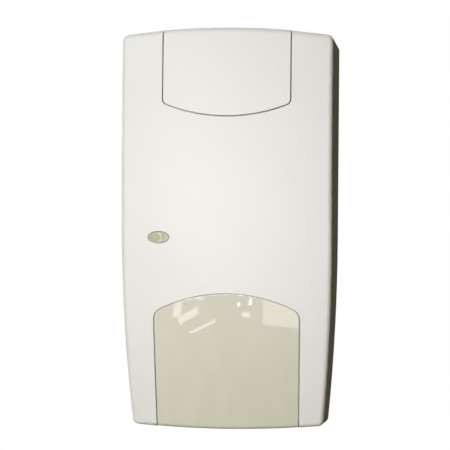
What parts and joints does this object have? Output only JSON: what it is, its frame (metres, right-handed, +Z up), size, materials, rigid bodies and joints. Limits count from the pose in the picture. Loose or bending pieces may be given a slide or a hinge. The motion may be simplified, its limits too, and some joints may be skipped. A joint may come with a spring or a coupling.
{
  "type": "curtain motion detector",
  "caption": "Upright wall motion detector: crowned white housing on a bevelled rear base, arched glossy window, top insert over the cover screw, faceted mirror inside.",
  "frame": {"origin": "middle of the flat back face, which lies on the wall", "axes": "+Y points into the wall, square to the back face; +Z points up; +X points right as seen from the front"},
  "size_m": [0.0662, 0.0501, 0.1257],
  "materials": {
    "housing_plastic": "injection-moulded ABS, warm white, fine satin texture",
    "base_plastic": "injection-moulded ABS, warm white, satin",
    "window_plastic": "infrared-clear polyethylene, glossy, pale grey-green",
    "clear_plastic": "clear acrylic light guide",
    "mirror_plating": "chrome-plated moulded plastic",
    "board_laminate": "glass-fibre laminate with green solder resist",
    "black_plastic": "moulded epoxy or nylon, black",
    "relay_plastic": "moulded polybutylene, off-white",
    "terminal_plastic": "moulded polyamide, green",
    "screw_steel": "zinc-plated steel",
    "can_metal": "drawn aluminium",
    "filter_glass": "coated silicon filter",
    "lamp_resin": "tinted epoxy lamp",
    "spring_steel": "spring steel strip"
  },
  "bodies": {
    "detector": {"front_housing": "housing_plastic", "optical_window": "window_plastic", "led_lens": "clear_plastic", "rear_base": "base_plastic", "cover_screw": "screw_steel", "board_screws": "screw_steel", "curtain_mirror": "mirror_plating", "pyro_sensor": "can_metal", "sensor_filter": "filter_glass", "sensor_bracket": "black_plastic", "circuit_board": "board_laminate", "processor_chip": "black_plastic", "amplifier_chip": "black_plastic", "alarm_relay": "relay_plastic", "voltage_regulator": "black_plastic", "crystal": "can_metal", "capacitors": "can_metal", "jumper_pins": "black_plastic", "jumper_caps": "black_plastic", "resistors": "black_plastic", "indicator_led": "lamp_resin", "terminal_block": "terminal_plastic", "terminal_screws": "screw_steel", "tamper_switch": "black_plastic", "switch_plunger": "relay_plastic", "switch_lever": "spring_steel"},
    "insert": {"cover_insert": "housing_plastic"}
  },
  "joints": [
    {"name": "insert_release", "type": "slide", "parent": "detector", "child": "insert", "axis": [0, -1, 0], "range_m": [0, 0.03]}
  ]
}
